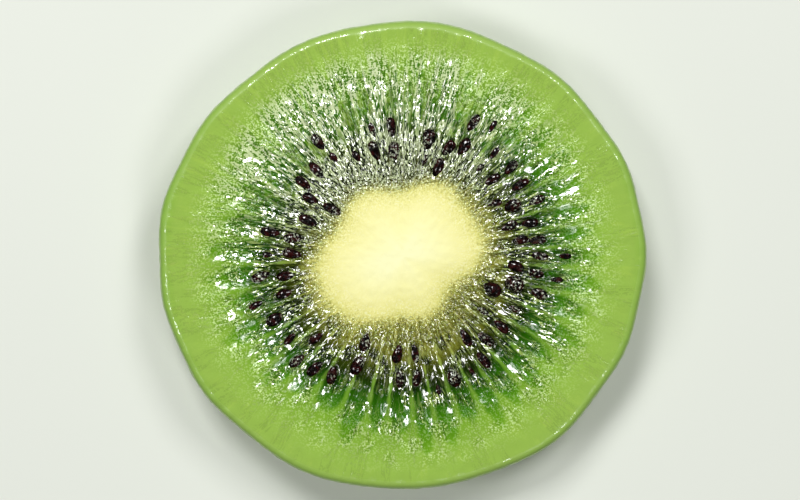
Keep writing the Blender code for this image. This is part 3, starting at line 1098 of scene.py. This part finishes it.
def cut_finish(name):
    """Wet cut fruit: cream core, olive border, dark chambers between pale rays, green outside."""
    f = CutFinish(name)
    border = f.past + f.grit.swing(BORDER_GRIT) + f.streaks.swing(BORDER_STREAKS)
    border = border - (1.0 - f.in_chamber) * BORDER_RAYS
    colour = f.mix(border.between(*BORDER), f.core_colour(), f.flesh_colour())
    # Painted light goes on last: the sheen and hollow shade of the side the key light comes from
    colour = f.painted_sheen(f.granulated(f.stroked(colour)))
    side = f.mix(f.streaks.between(*SIDE_STREAK_LEVELS), *SIDE_COLOURS)
    return f.surface(
        Base_Color=f.mix(f.cut, side, colour), Roughness=f.roughness(), IOR=FRUIT_IOR,
        Normal=f.bump(f.relief()), Coat_Weight=f.glinting_film(),
        Coat_Roughness=FILM_ROUGHNESS, Coat_IOR=FILM_IOR)


def seed_finish():
    """Seed coats: nearly black, reddish brown where thin, finely netted; some filmed by juice, with
    glossy drops and pale painted glints.
    """
    f = Finish("dark_seed_coat")
    metres = f.node("ShaderNodeTexCoord", output="Object")
    spot = f.vector("MULTIPLY", metres, (1.0 / MM, 1.0 / MM, 1.0 / MM))
    edges = f.cells(spot, "Distance", feature="DISTANCE_TO_EDGE", scale=NET_CELLS)
    pads = edges.between(*NET_LEVELS)
    patches = f.noise(spot, **SEED_PATCHES)
    red = patches.between(*RED_PATCH_LEVELS) * pads.at_least(RED_ON_NET)
    filmed = f.noise(spot, **SEED_JUICE).between(*FILMED_SEED_LEVELS)
    drops = f.noise(spot, **DROPS)
    # Pale painted glints where drops lie on the juice film
    painted_glints = filmed * drops.between(*PAINTED_DROP_GLINT_LEVELS) * SEED_PAINTED_GLINT_SHARE
    relief = pads * NET_HEIGHT + patches * SEED_PATCH_HEIGHT
    return f.surface(
        Base_Color=f.mix(painted_glints, f.mix(red, *SEED_COLOURS), SEED_PAINTED_GLINT), Roughness=SEED_ROUGHNESS,
        IOR=SEED_IOR, Normal=f.bump(relief), Coat_IOR=SEED_FILM_IOR,
        Coat_Weight=(drops + filmed * FILM_IN_SHINE).between(*SHINY_LEVELS),
        Coat_Roughness=FILM_ROUGHNESS)


def floor_finish():
    """Pale, faintly clouded and matt, and clear towards its far edge."""
    f = Finish("pale_floor")
    spot = f.node("ShaderNodeTexCoord", output="Object")
    colour = f.mix(f.noise(spot, **FLOOR_CLOUDS), *FLOOR_COLOURS)
    near = f.vector("LENGTH", spot, output="Value").until(*FLOOR_FADE)
    return f.surface(Base_Color=colour, Roughness=FLOOR_ROUGHNESS, Alpha=near)


# Floor, lights and camera


def make_floor():
    half = FLOOR_WIDTH / 2
    mesh = bpy.data.meshes.new("floor")
    corners = [(-half, -half, 0.0), (half, -half, 0.0), (half, half, 0.0), (-half, half, 0.0)]
    mesh.from_pydata(corners, [], [(0, 1, 2, 3)])
    mesh.materials.append(floor_finish())
    floor = bpy.data.objects.new("floor", mesh)
    bpy.context.scene.collection.objects.link(floor)


def add_softbox(name, turn, lean, power):
    """A square light aimed at the slice: turned round it, and leaning from straight above."""
    light = bpy.data.lights.new(name, "AREA")
    light.size = SOFTBOX_WIDTH
    light.energy = power
    lamp = bpy.data.objects.new(name, light)
    aim = Euler((math.radians(lean), 0.0, math.radians(turn) + math.pi / 2))
    lamp.rotation_euler = aim
    lamp.location = aim.to_matrix() @ Vector((0.0, 0.0, SOFTBOX_DISTANCE))
    bpy.context.scene.collection.objects.link(lamp)


def add_sky():
    """A pale backdrop past the floor's faded edge, which itself lights the slice only faintly."""
    world = bpy.data.worlds.new("studio")
    world.use_nodes = True
    tree = world.node_tree
    seen = tree.nodes.new("ShaderNodeLightPath").outputs["Is Camera Ray"]
    strength = tree.nodes.new("ShaderNodeMapRange")
    strength.inputs["To Min"].default_value = SKY_STRENGTH
    strength.inputs["To Max"].default_value = BACKDROP_STRENGTH
    background = tree.nodes["Background"]
    background.inputs["Color"].default_value = SKY_COLOUR
    tree.links.new(seen, strength.inputs["Value"])
    tree.links.new(strength.outputs["Result"], background.inputs["Strength"])
    bpy.context.scene.world = world


def add_camera():
    camera = bpy.data.cameras.new("camera")
    camera.lens = LENS
    camera.sensor_width = SENSOR_WIDTH
    camera.clip_start = NEAREST_SEEN
    holder = bpy.data.objects.new("camera", camera)
    distance = VIEW_WIDTH * LENS / SENSOR_WIDTH
    holder.location = Vector(MIDDLE) + VIEW_OFFSET + Vector((0.0, 0.0, THICKNESS + distance))
    bpy.context.scene.collection.objects.link(holder)
    bpy.context.scene.camera = holder


def main():
    flesh = make_flesh(cut_finish("wet_green_flesh"))
    core = make_core(cut_finish("cream_core"))
    seed_piece = make_seeds(seed_finish())
    for piece, slot in ((flesh, "flesh"), (core, "core"), (seed_piece, "flesh")):
        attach(piece, "root")
    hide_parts("flesh")
    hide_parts("core")
    make_floor()
    for softbox in SOFTBOXES:
        add_softbox(*softbox)
    add_sky()
    add_camera()
    bpy.context.scene.view_settings.view_transform = "Standard"


main()
